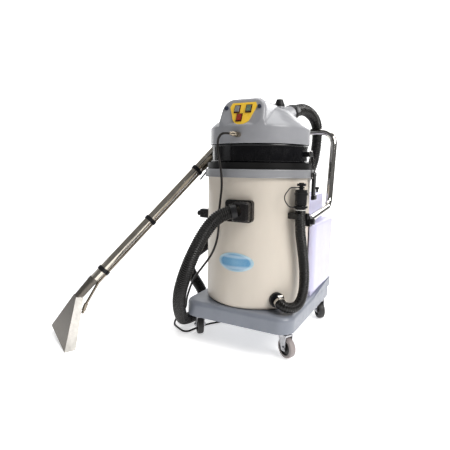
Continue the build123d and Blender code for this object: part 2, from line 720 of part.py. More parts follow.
def wand_valve():
    """The trigger valve beside the tube, on the side away from the clamps' pipe."""
    body = bar_between(valve_point(VALVE_START), valve_point(VALVE_END), 13)
    spout = bar_between(valve_point(VALVE_END - 2), valve_point(VALVE_END + 14), 6.5)
    link = bar_between(wand_point(VALVE_START + 7, PIPE_OFFSET), valve_point(VALVE_START + 7), 5)
    foot = bar_between(wand_point(VALVE_START - 3.5, PIPE_OFFSET), wand_point(VALVE_START + 14, PIPE_OFFSET), 5.2)
    pin = bar_between(valve_point(TRIGGER_PIN, 18, -8), valve_point(TRIGGER_PIN, 18, 8), 2)
    for side in (-7.5, 7.5):
        body += bar_between(valve_point(TRIGGER_PIN, 6, side), valve_point(TRIGGER_PIN, 21, side), 2.4)
    tube_room = bar_between(wand_point(VALVE_START - 20), wand_point(VALVE_END + 20), WAND_RADIUS + 0.2)
    line_end, line_before = (Vector(*point) for point in SOLUTION_ROUTE[:-3:-1])
    valve = body + spout + (link - tube_room) + (foot - tube_room) + pin
    return valve - bar_between(line_end, line_before, LINE_RADIUS + 0.1)


def wand_trigger():
    """The lever that opens the valve, hinged at the valve's upper end."""
    start, end = valve_point(VALVE_END - 5, 18), valve_point(VALVE_START - 40, 25)
    plane = Plane(origin=start, x_dir=WAND_PIPE_SIDE.cross(WAND_DIRECTION), z_dir=end - start)
    body = extrude(plane * RectangleRounded(9, 6, 2), (end - start).length)
    return body - bar_between(valve_point(TRIGGER_PIN, 18, -20), valve_point(TRIGGER_PIN, 18, 20), 2.05)


def wand_cuff():
    """The socket at the wand's top end, which leans on the head's rim."""
    socket = bar_between(wand_point(CUFF_START), wand_point(WAND_LENGTH), 28)
    socket -= bar_between(wand_point(SOCKET_START), wand_point(WAND_LENGTH + 5), SOCKET_RADIUS)
    return socket - bar_between(wand_point(CUFF_START - 5), wand_point(WAND_LENGTH), WAND_RADIUS + 0.1)


def solution_coupler():
    """The quick coupler for the solution line, on the head's rim."""
    first, second = (Vector(*point) for point in SOLUTION_ROUTE[:2])
    way = (first - second).normalized()
    base = bar_between((2, -184, 773), (2, -204, 773), 9) - upright(RIM_RADIUS + 0.1, 740, 800)
    return base + bar_between(first + way * 25, first, 6) + bar_between(first + way * 16, first + way * 8, 8)


def nodes():
    """Every piece by its node's name, about the tank's axis."""
    pieces = {
        "base_shell": base_shell(),
        "caster_mounts": Compound(children=[caster_mount(centre) for centre, _ in CASTERS.values()]),
        "recovery_tank": recovery_tank(),
        "tank_flange": tank_flange(),
        "head_lip": head_lip(),
        "motor_band": motor_band(),
        "head_cover": head_cover(),
        "control_panel": control_panel(),
        "switch_bezels": Compound(children=[switch_bezel(name) for name in SWITCHES]),
        "head_buttons": head_buttons(),
        "carry_grip": carry_grip(),
        "bleed_cap": bleed_cap(),
        "motor_body": motor_body(),
        "motor_fan": motor_fan(),
        "float_cage": float_cage(),
        "float_ball": float_ball(),
        "inlet_plate": inlet_plate(),
        "hose_cuffs": hose_cuffs(),
        "label_plate": label_plate(),
        "drain_elbow": drain_elbow(),
        "drain_clamp": drain_clamp(),
        "drain_hose": hose(DRAIN_ROUTE, DRAIN_HOSE_RADIUS, "drain hose"),
        "drain_cuff": drain_cuff(),
        "drain_plug": drain_plug(),
        "plug_strap": plug_strap(),
        "drain_clip": drain_clip(),
        "handle_tube": handle_tube(),
        "handle_brackets": Compound(children=[handle_bracket(), mirrored(handle_bracket())]),
        "handle_knob_right": handle_knob(),
        "handle_knob_left": mirrored(handle_knob()),
        "latch_lever_right": latch_lever(),
        "latch_lever_left": mirrored(latch_lever()),
        "latch_bail_right": latch_bail(),
        "latch_bail_left": mirrored(latch_bail()),
        "latch_mounts": Compound(children=[latch_catch(), mirrored(latch_catch()),
                                           latch_bracket(), mirrored(latch_bracket())]),
        "clean_tank": clean_tank(),
        "clean_cap": clean_cap(),
        "vent_cap": vent_cap(),
        "pump": pump(),
        "wand_nozzle": wand_nozzle(),
        "wand_tube": wand_tube(),
        "wand_bands": wand_bands(),
        "wand_pipe": wand_pipe(),
        "wand_valve": wand_valve(),
        "wand_trigger": wand_trigger(),
        "wand_cuff": wand_cuff(),
        "solution_coupler": solution_coupler(),
        "vacuum_hose": hose(VACUUM_ROUTE, HOSE_RADIUS, "vacuum hose"),
        "solution_hose": hose(SOLUTION_ROUTE, LINE_RADIUS, "solution hose"),
    }
    for name in CASTERS:
        short = "".join(word[0] for word in name.split("_"))
        pieces[f"fork_{short}"] = caster_fork(name)
        pieces[f"wheel_{short}"] = caster_wheel(name)
    for name in SWITCHES:
        pieces[f"rocker_{name}"] = rocker(name)
    return pieces


os.makedirs("parts", exist_ok=True)
for node_name, piece in nodes().items():
    export_step(piece.moved(Location(FRAME_SHIFT)), f"parts/{node_name}.step")
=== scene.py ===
import json
import math

import bmesh
import bpy
import numpy as np
from mathutils import Matrix, Vector

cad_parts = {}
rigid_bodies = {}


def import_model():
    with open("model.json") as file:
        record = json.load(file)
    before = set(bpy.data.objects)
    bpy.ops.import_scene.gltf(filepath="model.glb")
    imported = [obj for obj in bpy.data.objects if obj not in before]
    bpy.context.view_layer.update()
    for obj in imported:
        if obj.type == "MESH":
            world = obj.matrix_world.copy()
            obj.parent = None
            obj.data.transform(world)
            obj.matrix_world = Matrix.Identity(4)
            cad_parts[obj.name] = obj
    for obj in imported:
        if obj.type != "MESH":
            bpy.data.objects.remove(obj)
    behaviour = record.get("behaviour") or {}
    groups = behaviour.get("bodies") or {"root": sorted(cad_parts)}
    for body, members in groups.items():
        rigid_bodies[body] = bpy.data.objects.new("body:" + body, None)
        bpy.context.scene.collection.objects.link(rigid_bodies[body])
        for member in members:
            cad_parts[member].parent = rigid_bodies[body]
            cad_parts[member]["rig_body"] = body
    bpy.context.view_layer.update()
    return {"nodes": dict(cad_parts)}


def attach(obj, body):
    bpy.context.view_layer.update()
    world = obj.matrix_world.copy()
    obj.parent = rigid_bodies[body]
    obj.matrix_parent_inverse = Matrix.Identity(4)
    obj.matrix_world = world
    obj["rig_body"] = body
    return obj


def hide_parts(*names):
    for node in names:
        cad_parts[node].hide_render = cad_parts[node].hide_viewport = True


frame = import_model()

scene = bpy.context.scene
NODES = frame["nodes"]
SHIFT = Vector((0.2305, 0.0774, 0.0))


def mm(x, y, z=0.0):
    """A point about the tank's axis, in millimetres, as a point of the frame in metres."""
    return Vector((x, y, z)) * 0.001 + SHIFT


# Camera

def aim_camera():
    data = bpy.data.cameras.new("camera")
    data.lens = 31.36
    data.sensor_width = 36
    data.clip_end = 50
    camera = bpy.data.objects.new("camera", data)
    scene.collection.objects.link(camera)
    yaw, pitch, roll = (math.radians(angle) for angle in (28.26, -8.476, 0.769))
    forward = Vector((-math.sin(yaw) * math.cos(pitch), math.cos(yaw) * math.cos(pitch), math.sin(pitch)))
    level = Vector((math.cos(yaw), math.sin(yaw), 0))
    top = level.cross(forward)
    right = level * math.cos(roll) + top * math.sin(roll)
    up = top * math.cos(roll) - level * math.sin(roll)
    turn = Matrix((right, up, -forward)).transposed()
    camera.matrix_world = Matrix.Translation(mm(610, -1407, 665)) @ turn.to_4x4()
    scene.camera = camera


aim_camera()


# Routes of the hoses, as in the CAD

VACUUM_ROUTE = [
    (12, -222, 515), (-22, -246, 506), (-46, -274, 482), (-66, -302, 440), (-84, -322, 392),
    (-104, -332, 340), (-130, -328, 280), (-160, -308, 218), (-192, -266, 152), (-232, -196, 86),
    (-270, -126, 38), (-272, -62, 26), (-258, -4, 32), (-262, 36, 66), (-284, 46, 116),
    (-312, 28, 168), (-326, 0, 222), (-309, -4, 276), (-276, 36, 314), (-264, 110, 338),
    (-266, 190, 366), (-266, 276, 400), (-246, 362, 436), (-170, 408, 470), (-76, 416, 504),
    (12, 410, 550), (70, 402, 615), (98, 400, 685), (107, 400, 750), (110, 399, 808),
    (110, 391, 850), (104, 362, 882), (98, 312, 899), (94, 250, 905), (90, 180, 898),
    (86, 108, 877),
]
SOLUTION_ROUTE = [
    (-20, -210, 776), (-42, -221, 779), (-62, -215, 762), (-68, -209, 734), (-64, -207, 706),
    (-56, -209, 672), (-49, -211, 634), (-47, -212, 590), (-53, -212, 545), (-58, -212, 495),
    (-58, -211, 445), (-68, -208, 395), (-92, -204, 345), (-130, -206, 295), (-172, -196, 246),
    (-206, -172, 196), (-236, -150, 140), (-256, -122, 98), (-282, -99, 72), (-310, -90, 44),
    (-328, -97, 16), (-320, -118, 4.3), (-297, -133, 4.3), (-270, -147, 4.3), (-247, -158, 4.3),
    (-229, -151, 4.3), (-222, -124, 4.3), (-214, -88, 4.3), (-196, -40, 4.3), (-150, 20, 4.3),
    (-130, 90, 4.3), (-160, 148, 4.3), (-204, 176, 6), (-230, 196, 34), (-230, 204, 90),
    (-228, 206, 170), (-229, 203, 260), (-228, 206, 350), (-229, 204, 440), (-230, 180, 520),
    (-232, 152, 595), (-230, 124, 650), (-225, 92, 688), (-219, 60, 709), (-215.4, 36, 716.5),
    (-212, 23.3, 710.5), (-216.9, 16.3, 702),
]
DRAIN_ROUTE = [
    (155, -155, 199), (172, -171, 192), (196, -158, 183), (214, -126, 184), (221, -94, 212),
    (220, -76, 262), (216, -80, 330), (209, -92, 400), (203, -103, 456), (203, -103, 538),
]


# Mesh helpers

def add_object(name, data, material=None, body="machine"):
    obj = bpy.data.objects.new(name, data)
    scene.collection.objects.link(obj)
    if material is not None:
        data.materials.append(material)
    if body:
        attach(obj, body)
    return obj


def from_bmesh(name, bm, material=None, body="machine", smooth=True, crease=35):
    mesh = bpy.data.meshes.new(name)
    bmesh.ops.recalc_face_normals(bm, faces=bm.faces)
    bm.to_mesh(mesh)
    bm.free()
    if smooth:
        mesh.shade_smooth()
        mesh.set_sharp_from_angle(angle=math.radians(crease))
    return add_object(name, mesh, material, body)


def spline(name, route, bevel=0.0):
    """One smooth open line whose control points are the route."""
    data = bpy.data.curves.new(name, "CURVE")
    data.dimensions = "3D"
    data.bevel_depth = bevel
    data.bevel_resolution = 6
    data.use_fill_caps = bevel > 0
    line = data.splines.new("NURBS")
    line.points.add(len(route) - 1)
    for point, place in zip(line.points, route):
        point.co = (*mm(*place), 1.0)
    line.order_u = 3
    line.use_endpoint_u = True
    line.resolution_u = 14
    obj = bpy.data.objects.new(name, data)
    scene.collection.objects.link(obj)
    return obj


def centreline(route):
    """Points along the smooth line of a route, read from its spline."""
    obj = spline("line_reader", route)
    bpy.context.view_layer.update()
    mesh = bpy.data.meshes.new_from_object(obj.evaluated_get(bpy.context.evaluated_depsgraph_get()))
    points = [vertex.co.copy() for vertex in mesh.vertices]
    bpy.data.objects.remove(obj)
    return points


def resample(path, step):
    """Evenly spaced points on a path, and their distances along it."""
    places = np.array(path, float)
    along = np.concatenate(([0], np.cumsum(np.linalg.norm(np.diff(places, axis=0), axis=1))))
    count = max(2, round(along[-1] / step) + 1)
    at = np.linspace(0, along[-1], count)
    return np.stack([np.interp(at, along, places[:, axis]) for axis in range(3)], axis=1), at


def swept(bm, path, step, radius_at, sides, cap=True):
    """A tube along a path whose radius depends on the distance along it."""
    points, along = resample(path, step)
    tangents = np.gradient(points, axis=0)
    tangents /= np.linalg.norm(tangents, axis=1)[:, None]
    side = Vector(tangents[0]).orthogonal().normalized()
    rings = []
    for place, tangent, distance in zip(points, tangents, along):
        tangent = Vector(tangent)
        side = (side - tangent * side.dot(tangent)).normalized()
        other = tangent.cross(side)
        radius = radius_at(distance)
        ring = []
        for turn in range(sides):
            angle = 2 * math.pi * turn / sides
            offset = (side * math.cos(angle) + other * math.sin(angle)) * radius
            ring.append(bm.verts.new(Vector(place) + offset))
        rings.append(ring)
    for low, high in zip(rings, rings[1:]):
        for turn in range(sides):
            following = (turn + 1) % sides
            bm.faces.new((low[turn], low[following], high[following], high[turn]))
    if cap:
        bm.faces.new(rings[0][::-1])
        bm.faces.new(rings[-1])
    return along[-1]


def turned(bm, profile, origin, axis, segments=64):
    """A profile of (radius, height) pairs in millimetres, turned about an axis."""
    axis = Vector(axis).normalized()
    side = axis.orthogonal().normalized()
    other = axis.cross(side)
    rings = []
    for radius, height in profile:
        ring = []
        for turn in range(segments):
            angle = 2 * math.pi * turn / segments
            offset = (side * math.cos(angle) + other * math.sin(angle)) * radius + axis * height
            ring.append(bm.verts.new(origin + offset * 0.001))
        rings.append(ring)
    for low, high in zip(rings, rings[1:]):
        for turn in range(segments):
            following = (turn + 1) % segments
            bm.faces.new((low[turn], low[following], high[following], high[turn]))
    return rings


def rounded_bar(bm, start, end, radius, sides=16):
    """A short bar with softened ends."""
    start, end = Vector(start), Vector(end)
    length = (end - start).length * 1000
    soft = min(radius * 0.35, length * 0.2)
    profile = [(0.001, 0), (radius - soft, 0), (radius - 0.3 * soft, 0.3 * soft), (radius, soft),
               (radius, length - soft), (radius - 0.3 * soft, length - 0.3 * soft),
               (radius - soft, length), (0.001, length)]
    turned(bm, profile, start, end - start, sides)


def softened(node, name, voxel, rounds, material):
    """A copy of a CAD node whose edges and inner corners are moulded smooth."""
    bm = bmesh.new()
    bm.from_mesh(NODES[node].data)
    bmesh.ops.remove_doubles(bm, verts=bm.verts, dist=1e-5)
    mesh = bpy.data.meshes.new(name)
    bm.to_mesh(mesh)
    bm.free()
    obj = bpy.data.objects.new(name, mesh)
    scene.collection.objects.link(obj)
    remesh = obj.modifiers.new("voxels", "REMESH")
    remesh.mode = "VOXEL"
    remesh.voxel_size = voxel
    remesh.use_smooth_shade = True
    ease = obj.modifiers.new("ease", "SMOOTH")
    ease.factor = 0.5
    ease.iterations = rounds
    bpy.context.view_layer.update()
    result = bpy.data.meshes.new_from_object(obj.evaluated_get(bpy.context.evaluated_depsgraph_get()))
    bpy.data.objects.remove(obj)
    result.name = name
    result.shade_smooth()
    result.materials.clear()
    piece = add_object(name, result, material, NODES[node]["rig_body"])
    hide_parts(node)
    return piece


# Materials

def start_material(name):
    material = bpy.data.materials.new(name)
    material.use_nodes = True
    tree = material.node_tree
    return material, tree.nodes, tree.links, tree.nodes["Principled BSDF"]


def noise(nodes, links, coords, scale, detail=4.0, rough=0.55, stretch=None):
    texture = nodes.new("ShaderNodeTexNoise")
    texture.inputs["Scale"].default_value = scale
    texture.inputs["Detail"].default_value = detail
    texture.inputs["Roughness"].default_value = rough
    source = coords
    if stretch:
        mapping = nodes.new("ShaderNodeMapping")
        mapping.inputs["Scale"].default_value = stretch
        links.new(coords, mapping.inputs["Vector"])
        source = mapping.outputs["Vector"]
    links.new(source, texture.inputs["Vector"])
    return texture.outputs["Fac"]


def ramp(nodes, links, factor, stops):
    """A colour ramp from (place, colour) stops."""
    node = nodes.new("ShaderNodeValToRGB")
    elements = node.color_ramp.elements
    for element, (place, colour) in zip(elements, stops):
        element.position = place
        element.color = (*colour, 1)
    for place, colour in stops[2:]:
        elements.new(place).color = (*colour, 1)
    links.new(factor, node.inputs["Fac"])
    return node.outputs["Color"]


def span(nodes, links, factor, low, high, start=0.3, end=0.7):
    node = nodes.new("ShaderNodeMapRange")
    node.inputs["From Min"].default_value = start
    node.inputs["From Max"].default_value = end
    node.inputs["To Min"].default_value = low
    node.inputs["To Max"].default_value = high
    links.new(factor, node.inputs["Value"])
    return node.outputs["Result"]


def bump(nodes, links, shader, heights):
    """Bumps from (factor, strength, distance) layers, one over the other."""
    normal = None
    for factor, strength, distance in heights:
        node = nodes.new("ShaderNodeBump")
        node.inputs["Strength"].default_value = strength
        node.inputs["Distance"].default_value = distance
        links.new(factor, node.inputs["Height"])
        if normal is not None:
            links.new(normal, node.inputs["Normal"])
        normal = node.outputs["Normal"]
    links.new(normal, shader.inputs["Normal"])


def shaded(colour, share):
    return tuple(min(1.0, part * share) for part in colour)


def moulded(name, colour, rough=0.45, grain=900, strength=0.25, dark=0.86, light=1.08, coat=0.0,
            streak=None, soft=0.0, shine=0.5):
    """Moulded plastic or rubber: uneven colour, a fine grain and worn, smeared gloss."""
    material, nodes, links, shader = start_material(name)
    coords = nodes.new("ShaderNodeTexCoord").outputs["Object"]
    clouds = noise(nodes, links, coords, 7, 6, stretch=streak)
    links.new(ramp(nodes, links, clouds, [(0.28, shaded(colour, dark)), (0.72, shaded(colour, light))]),
              shader.inputs["Base Color"])
    smears = noise(nodes, links, coords, 34, 5)
    links.new(span(nodes, links, smears, max(0.02, rough - 0.07), rough + 0.09), shader.inputs["Roughness"])
    bump(nodes, links, shader, [(noise(nodes, links, coords, grain, 2), strength, 0.0004),
                                (noise(nodes, links, coords, 16, 2), 0.12, 0.0012)])
    shader.inputs["Specular IOR Level"].default_value = shine
    shader.inputs["Coat Weight"].default_value = coat
    shader.inputs["Coat Roughness"].default_value = 0.12
    if soft:
        shader.inputs["Subsurface Weight"].default_value = soft
        shader.inputs["Subsurface Radius"].default_value = (0.02, 0.015, 0.012)
    return material


def metal(name, colour, rough, stretch=(1, 1, 1), scale=60, strength=0.05, dark=0.8, distance=0.0003):
    """Polished, brushed or hammered metal."""
    material, nodes, links, shader = start_material(name)
    coords = nodes.new("ShaderNodeTexCoord").outputs["Object"]
    tone = noise(nodes, links, coords, scale, 5, stretch=stretch)
    links.new(ramp(nodes, links, tone, [(0.3, shaded(colour, dark)), (0.7, shaded(colour, 1.05))]),
              shader.inputs["Base Color"])
    shader.inputs["Metallic"].default_value = 1.0
    smears = noise(nodes, links, coords, 22, 5)
    links.new(span(nodes, links, smears, max(0.02, rough - 0.05), rough + 0.1), shader.inputs["Roughness"])
    bump(nodes, links, shader, [(tone, strength, distance)])
    return material


def hammered(name, colour, rough):
    """Sheet metal with the dimples of a hammer finish."""
    material, nodes, links, shader = start_material(name)
    coords = nodes.new("ShaderNodeTexCoord").outputs["Object"]
    cells = nodes.new("ShaderNodeTexVoronoi")
    cells.inputs["Scale"].default_value = 230
    links.new(coords, cells.inputs["Vector"])
    tone = noise(nodes, links, coords, 120, 5)
    tint = ramp(nodes, links, tone, [(0.3, shaded(colour, 0.72)), (0.7, colour)])
    links.new(tint, shader.inputs["Base Color"])
    shader.inputs["Metallic"].default_value = 0.85
    links.new(span(nodes, links, tone, rough - 0.06, rough + 0.12), shader.inputs["Roughness"])
    bump(nodes, links, shader, [(cells.outputs["Distance"], 0.55, 0.0007), (tone, 0.3, 0.0004)])
    return material


def printed_oval(name, centre, half):
    """A generic printed badge: a blue oval with a paler rim and a lighter wave across it."""
    material, nodes, links, shader = start_material(name)
    coords = nodes.new("ShaderNodeTexCoord").outputs["Object"]
    mapping = nodes.new("ShaderNodeMapping")
    scale = Vector((1 / half[0], 0, 1 / half[1]))
    mapping.inputs["Scale"].default_value = scale
    mapping.inputs["Location"].default_value = (-centre.x * scale.x, 0, -centre.z * scale.z)
    links.new(coords, mapping.inputs["Vector"])
    reach = nodes.new("ShaderNodeVectorMath")
    reach.operation = "LENGTH"
    links.new(mapping.outputs["Vector"], reach.inputs[0])
    disc = ramp(nodes, links, reach.outputs["Value"],
                [(0.0, (0.20, 0.42, 0.62)), (0.80, (0.10, 0.30, 0.52)),
                 (0.88, (0.34, 0.52, 0.64)), (0.97, (0.42, 0.60, 0.70))])
    wave = nodes.new("ShaderNodeTexWave")
    wave.bands_direction = "Z"
    wave.inputs["Scale"].default_value = 0.3
    wave.inputs["Distortion"].default_value = 3.4
    wave.inputs["Detail Scale"].default_value = 0.8
    links.new(mapping.outputs["Vector"], wave.inputs["Vector"])
    mask = span(nodes, links, wave.outputs["Fac"], 0.0, 0.5, 0.55, 0.98)
    mix = nodes.new("ShaderNodeMix")
    mix.data_type = "RGBA"
    links.new(mask, mix.inputs["Factor"])
    links.new(disc, mix.inputs["A"])
    mix.inputs["B"].default_value = (0.62, 0.76, 0.84, 1)
    links.new(mix.outputs["Result"], shader.inputs["Base Color"])
    fine = noise(nodes, links, coords, 400, 3)
    links.new(span(nodes, links, fine, 0.22, 0.38), shader.inputs["Roughness"])
    bump(nodes, links, shader, [(fine, 0.08, 0.0002)])
    return material


def lens(name, colour, rough=0.18):
    """The half-clear cap of a lit switch."""
    material, nodes, links, shader = start_material(name)
    coords = nodes.new("ShaderNodeTexCoord").outputs["Object"]
    tone = noise(nodes, links, coords, 260, 4)
    links.new(ramp(nodes, links, tone, [(0.3, shaded(colour, 0.7)), (0.7, shaded(colour, 1.15))]),
              shader.inputs["Base Color"])
    links.new(span(nodes, links, tone, rough, rough + 0.12), shader.inputs["Roughness"])
    shader.inputs["Transmission Weight"].default_value = 0.25
    shader.inputs["Coat Weight"].default_value = 0.6
    bump(nodes, links, shader, [(tone, 0.1, 0.0002)])
    return material


base_grey = moulded("base_grey", (0.225, 0.245, 0.290), 0.42, 700, 0.3, 0.84, 1.1, coat=0.15)
tank_beige = moulded("tank_beige", (0.66, 0.60, 0.52), 0.40, 260, 0.16, 0.93, 1.05, coat=0.1,
                     streak=(1, 1, 0.35), soft=0.08)
head_grey = moulded("head_grey", (0.285, 0.29, 0.31), 0.36, 1100, 0.2, 0.88, 1.08, coat=0.25)
flange_grey = moulded("flange_grey", (0.27, 0.275, 0.29), 0.38, 900, 0.2, 0.85, 1.1, coat=0.15)
band_black = moulded("band_black", (0.003, 0.003, 0.004), 0.22, 300, 0.05, 0.6, 1.5, shine=0.3)
lip_rubber = moulded("lip_rubber", (0.006, 0.006, 0.006), 0.4, 1200, 0.4, 0.7, 1.5, shine=0.2)
dark_plastic = moulded("dark_plastic", (0.010, 0.010, 0.011), 0.30, 1300, 0.3, 0.7, 1.4, shine=0.3)
inlet_plastic = moulded("inlet_plastic", (0.007, 0.006, 0.006), 0.26, 1100, 0.25, 0.7, 1.5, coat=0.08,
                        shine=0.25)
button_plastic = moulded("button_plastic", (0.022, 0.028, 0.05), 0.3, 900, 0.2, 0.8, 1.3)
hose_rubber = moulded("hose_rubber", (0.006, 0.0055, 0.005), 0.28, 1500, 0.3, 0.65, 1.6, coat=0.05,
                      shine=0.3)
line_rubber = moulded("line_rubber", (0.012, 0.010, 0.009), 0.38, 2200, 0.35, 0.7, 1.4, shine=0.3)
panel_yellow = moulded("panel_yellow", (0.95, 0.60, 0.05), 0.3, 1400, 0.15, 0.92, 1.05, coat=0.3)
switch_dark = moulded("switch_dark", (0.060, 0.008, 0.006), 0.25, 1500, 0.2, 0.5, 1.4, coat=0.3)
clean_white = moulded("clean_white", (0.62, 0.61, 0.80), 0.38, 420, 0.2, 0.95, 1.04, coat=0.05,
                      streak=(1, 1, 0.4), soft=0.12)
cap_white = moulded("cap_white", (0.62, 0.61, 0.68), 0.4, 800, 0.25, 0.9, 1.05)
tyre_grey = moulded("tyre_grey", (0.30, 0.265, 0.26), 0.5, 1400, 0.5, 0.72, 1.2)
# The grey tyre colour darkened to near black: painted shade for the casters that stand in shadow.
tyre_painted_shade = moulded("tyre_painted_shade", (0.022, 0.021, 0.021), 0.5, 1400, 0.5, 0.7, 1.5)
hub_black = moulded("hub_black", (0.011, 0.010, 0.010), 0.4, 1100, 0.3, 0.7, 1.5)
zinc = metal("zinc", (0.56, 0.56, 0.58), 0.3, scale=90, strength=0.12, dark=0.7)
chrome = metal("chrome", (0.60, 0.58, 0.55), 0.07, scale=45, strength=0.02, dark=0.9)
wand_chrome = metal("wand_chrome", (0.80, 0.74, 0.65), 0.13, scale=26, strength=0.003, dark=0.84)
pipe_steel = metal("pipe_steel", (0.36, 0.31, 0.25), 0.24, scale=70, strength=0.06, dark=0.7)
nozzle_sheet = hammered("nozzle_sheet", (0.19, 0.172, 0.15), 0.36)
# A pale, smooth metal for the nozzle's narrow ends: a painted highlight standing in for the lit side face.
nozzle_painted_highlight = metal("nozzle_painted_highlight", (0.74, 0.72, 0.68), 0.4, scale=60, strength=0.1, dark=0.8)
brass = metal("brass_fitting", (0.42, 0.36, 0.28), 0.25, scale=130, strength=0.08, dark=0.6)
alloy = metal("cast_alloy", (0.5, 0.5, 0.5), 0.45, scale=300, strength=0.3, dark=0.7)
lens_clear = lens("lens_clear", (0.30, 0.31, 0.31))
lens_green = lens("lens_green", (0.16, 0.24, 0.17))
lens_red = lens("lens_red", (0.36, 0.03, 0.015))
tie_white = moulded("tie_white", (0.72, 0.71, 0.68), 0.4, 900, 0.2, 0.9, 1.05)
badge = printed_oval("badge_print", mm(0, 0, 330), (0.0685, 0.034))

LOOKS = {
    "base_shell": base_grey, "caster_mounts": zinc, "recovery_tank": tank_beige, "tank_flange": flange_grey,
    "head_lip": lip_rubber, "motor_band": band_black, "head_cover": head_grey, "control_panel": panel_yellow,
    "switch_bezels": switch_dark, "head_buttons": button_plastic, "carry_grip": dark_plastic,
    "bleed_cap": dark_plastic, "motor_body": alloy, "motor_fan": alloy, "float_cage": lip_rubber,
    "float_ball": cap_white, "inlet_plate": inlet_plastic, "hose_cuffs": dark_plastic, "label_plate": badge,
    "drain_elbow": dark_plastic, "drain_clamp": chrome, "drain_cuff": dark_plastic,
    "drain_plug": dark_plastic,
    "plug_strap": dark_plastic, "drain_clip": dark_plastic, "handle_tube": chrome,
    "handle_brackets": dark_plastic, "handle_knob_right": dark_plastic, "handle_knob_left": dark_plastic,
    "latch_lever_right": dark_plastic, "latch_lever_left": dark_plastic, "latch_bail_right": chrome,
    "latch_bail_left": chrome, "latch_mounts": dark_plastic, "clean_tank": clean_white,
    "clean_cap": cap_white,
    "vent_cap": dark_plastic, "pump": dark_plastic, "wand_nozzle": nozzle_sheet, "wand_tube": wand_chrome,
    "wand_bands": dark_plastic, "wand_pipe": pipe_steel, "wand_valve": brass, "wand_trigger": dark_plastic,
    "wand_cuff": dark_plastic, "solution_coupler": brass, "rocker_vacuum": lens_clear,
    "rocker_pump": lens_green, "rocker_heater": lens_red, "vacuum_hose": hose_rubber,
    "solution_hose": line_rubber, "drain_hose": hose_rubber,
    "fork_fr": zinc, "fork_fl": zinc, "fork_rr": zinc, "fork_rl": zinc,
    # All four casters have the same grey tyres; the three besides the front right take the darkened copy as
    # painted shade.
    "wheel_fr": tyre_grey, "wheel_fl": tyre_painted_shade, "wheel_rr": tyre_painted_shade, "wheel_rl": tyre_painted_shade,
}
for node, look in LOOKS.items():
    NODES[node].data.materials.clear()
    NODES[node].data.materials.append(look)


def paint_highlight_on_nozzle():
    """Both narrow ends of the nozzle get a bright, smooth metal, a painted highlight that stands in for its
    lit side face; its broad faces are hammered.
    """
    mesh = NODES["wand_nozzle"].data
    mesh.materials.append(nozzle_painted_highlight)
    width = Vector((-0.8822, 0.4519, 0.1321)).normalized()
    for face in mesh.polygons:
        if face.center.z < 0.174 and abs(face.normal.dot(width)) > 0.6:
            face.material_index = 1


paint_highlight_on_nozzle()


# Hoses

def corrugated(name, route, radius, depth, pitch, plain=0.0):
    """A corrugated hose on the smooth line of its route. It returns the piece and the points it follows."""
    path = centreline(route)
    total = resample(path, 0.01)[1][-1]

    def reach(distance):
        if distance < plain or distance > total - plain:
            return radius
        wave = 0.5 - 0.5 * math.cos(2 * math.pi * distance / pitch)
        return radius - depth * wave ** 1.6

    bm = bmesh.new()
    swept(bm, path, pitch / 6, reach, 30)
    return from_bmesh(name, bm, hose_rubber, crease=80), path


hose, hose_path = corrugated("vacuum_hose_ribbed", VACUUM_ROUTE, 0.0238, 0.0028, 0.0074)
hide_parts("vacuum_hose")

drain, drain_path = corrugated("drain_hose_ribbed", DRAIN_ROUTE, 0.0183, 0.0016, 0.0060)
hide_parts("drain_hose")

line = spline("solution_line", SOLUTION_ROUTE, 0.004)
line.data.materials.append(line_rubber)
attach(line, "machine")
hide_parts("solution_hose")


# Vacuum head

softened("head_cover", "head_shell", 0.0022, 7, head_grey)


RIB_COUNT = 24
BAND_RADIUS = 180
FLANGE_RADIUS = 204
UPWARD = (0, 0, 1)


def band_ribs():
    """Slim upright ribs round the motor band, and a bead above and below them."""
    bm = bmesh.new()
    for turn in range(RIB_COUNT):
        angle = 2 * math.pi * (turn + 0.3) / RIB_COUNT
        x, y = BAND_RADIUS * math.cos(angle), BAND_RADIUS * math.sin(angle)
        rounded_bar(bm, mm(x, y, 686.5), mm(x, y, 741), 0.9, 8)
    for bead in ([(178, 736), (182.5, 737), (183.5, 740), (182.5, 743), (178, 743.5)],
                 [(178, 681), (186, 681.5), (187.5, 684), (184, 687), (178, 687.5)]):
        turned(bm, bead, mm(0, 0), UPWARD, 128)
    return from_bmesh("band_ribs", bm, band_black)


band_ribs()


def flange_beads():
    """The rolled edges of the flange."""
    bm = bmesh.new()
    for low, high in ((628.6, 632.2), (652.4, 656.6)):
        middle = (low + high) / 2
        turned(bm, [(FLANGE_RADIUS, low), (FLANGE_RADIUS + 2.3, low + 0.4), (FLANGE_RADIUS + 2.9, middle),
                    (FLANGE_RADIUS + 2.3, high - 0.4), (FLANGE_RADIUS, high)], mm(0, 0), UPWARD, 160)
    return from_bmesh("flange_beads", bm, flange_grey)


flange_beads()


# Casters

CASTERS = {
    "fr": ((174, -143), -31, tyre_grey),
    # fl, rr and rl take the darkened tyre colour, painted shade on tyres that are as grey as fr's.
    "fl": ((-174, -143), 131, tyre_painted_shade),
    "rr": ((180, 292), -52, tyre_painted_shade),
    "rl": ((-180, 292), 128, tyre_painted_shade),
}
CASTER_TRAIL = 17
AXLE_HEIGHT = 37.5


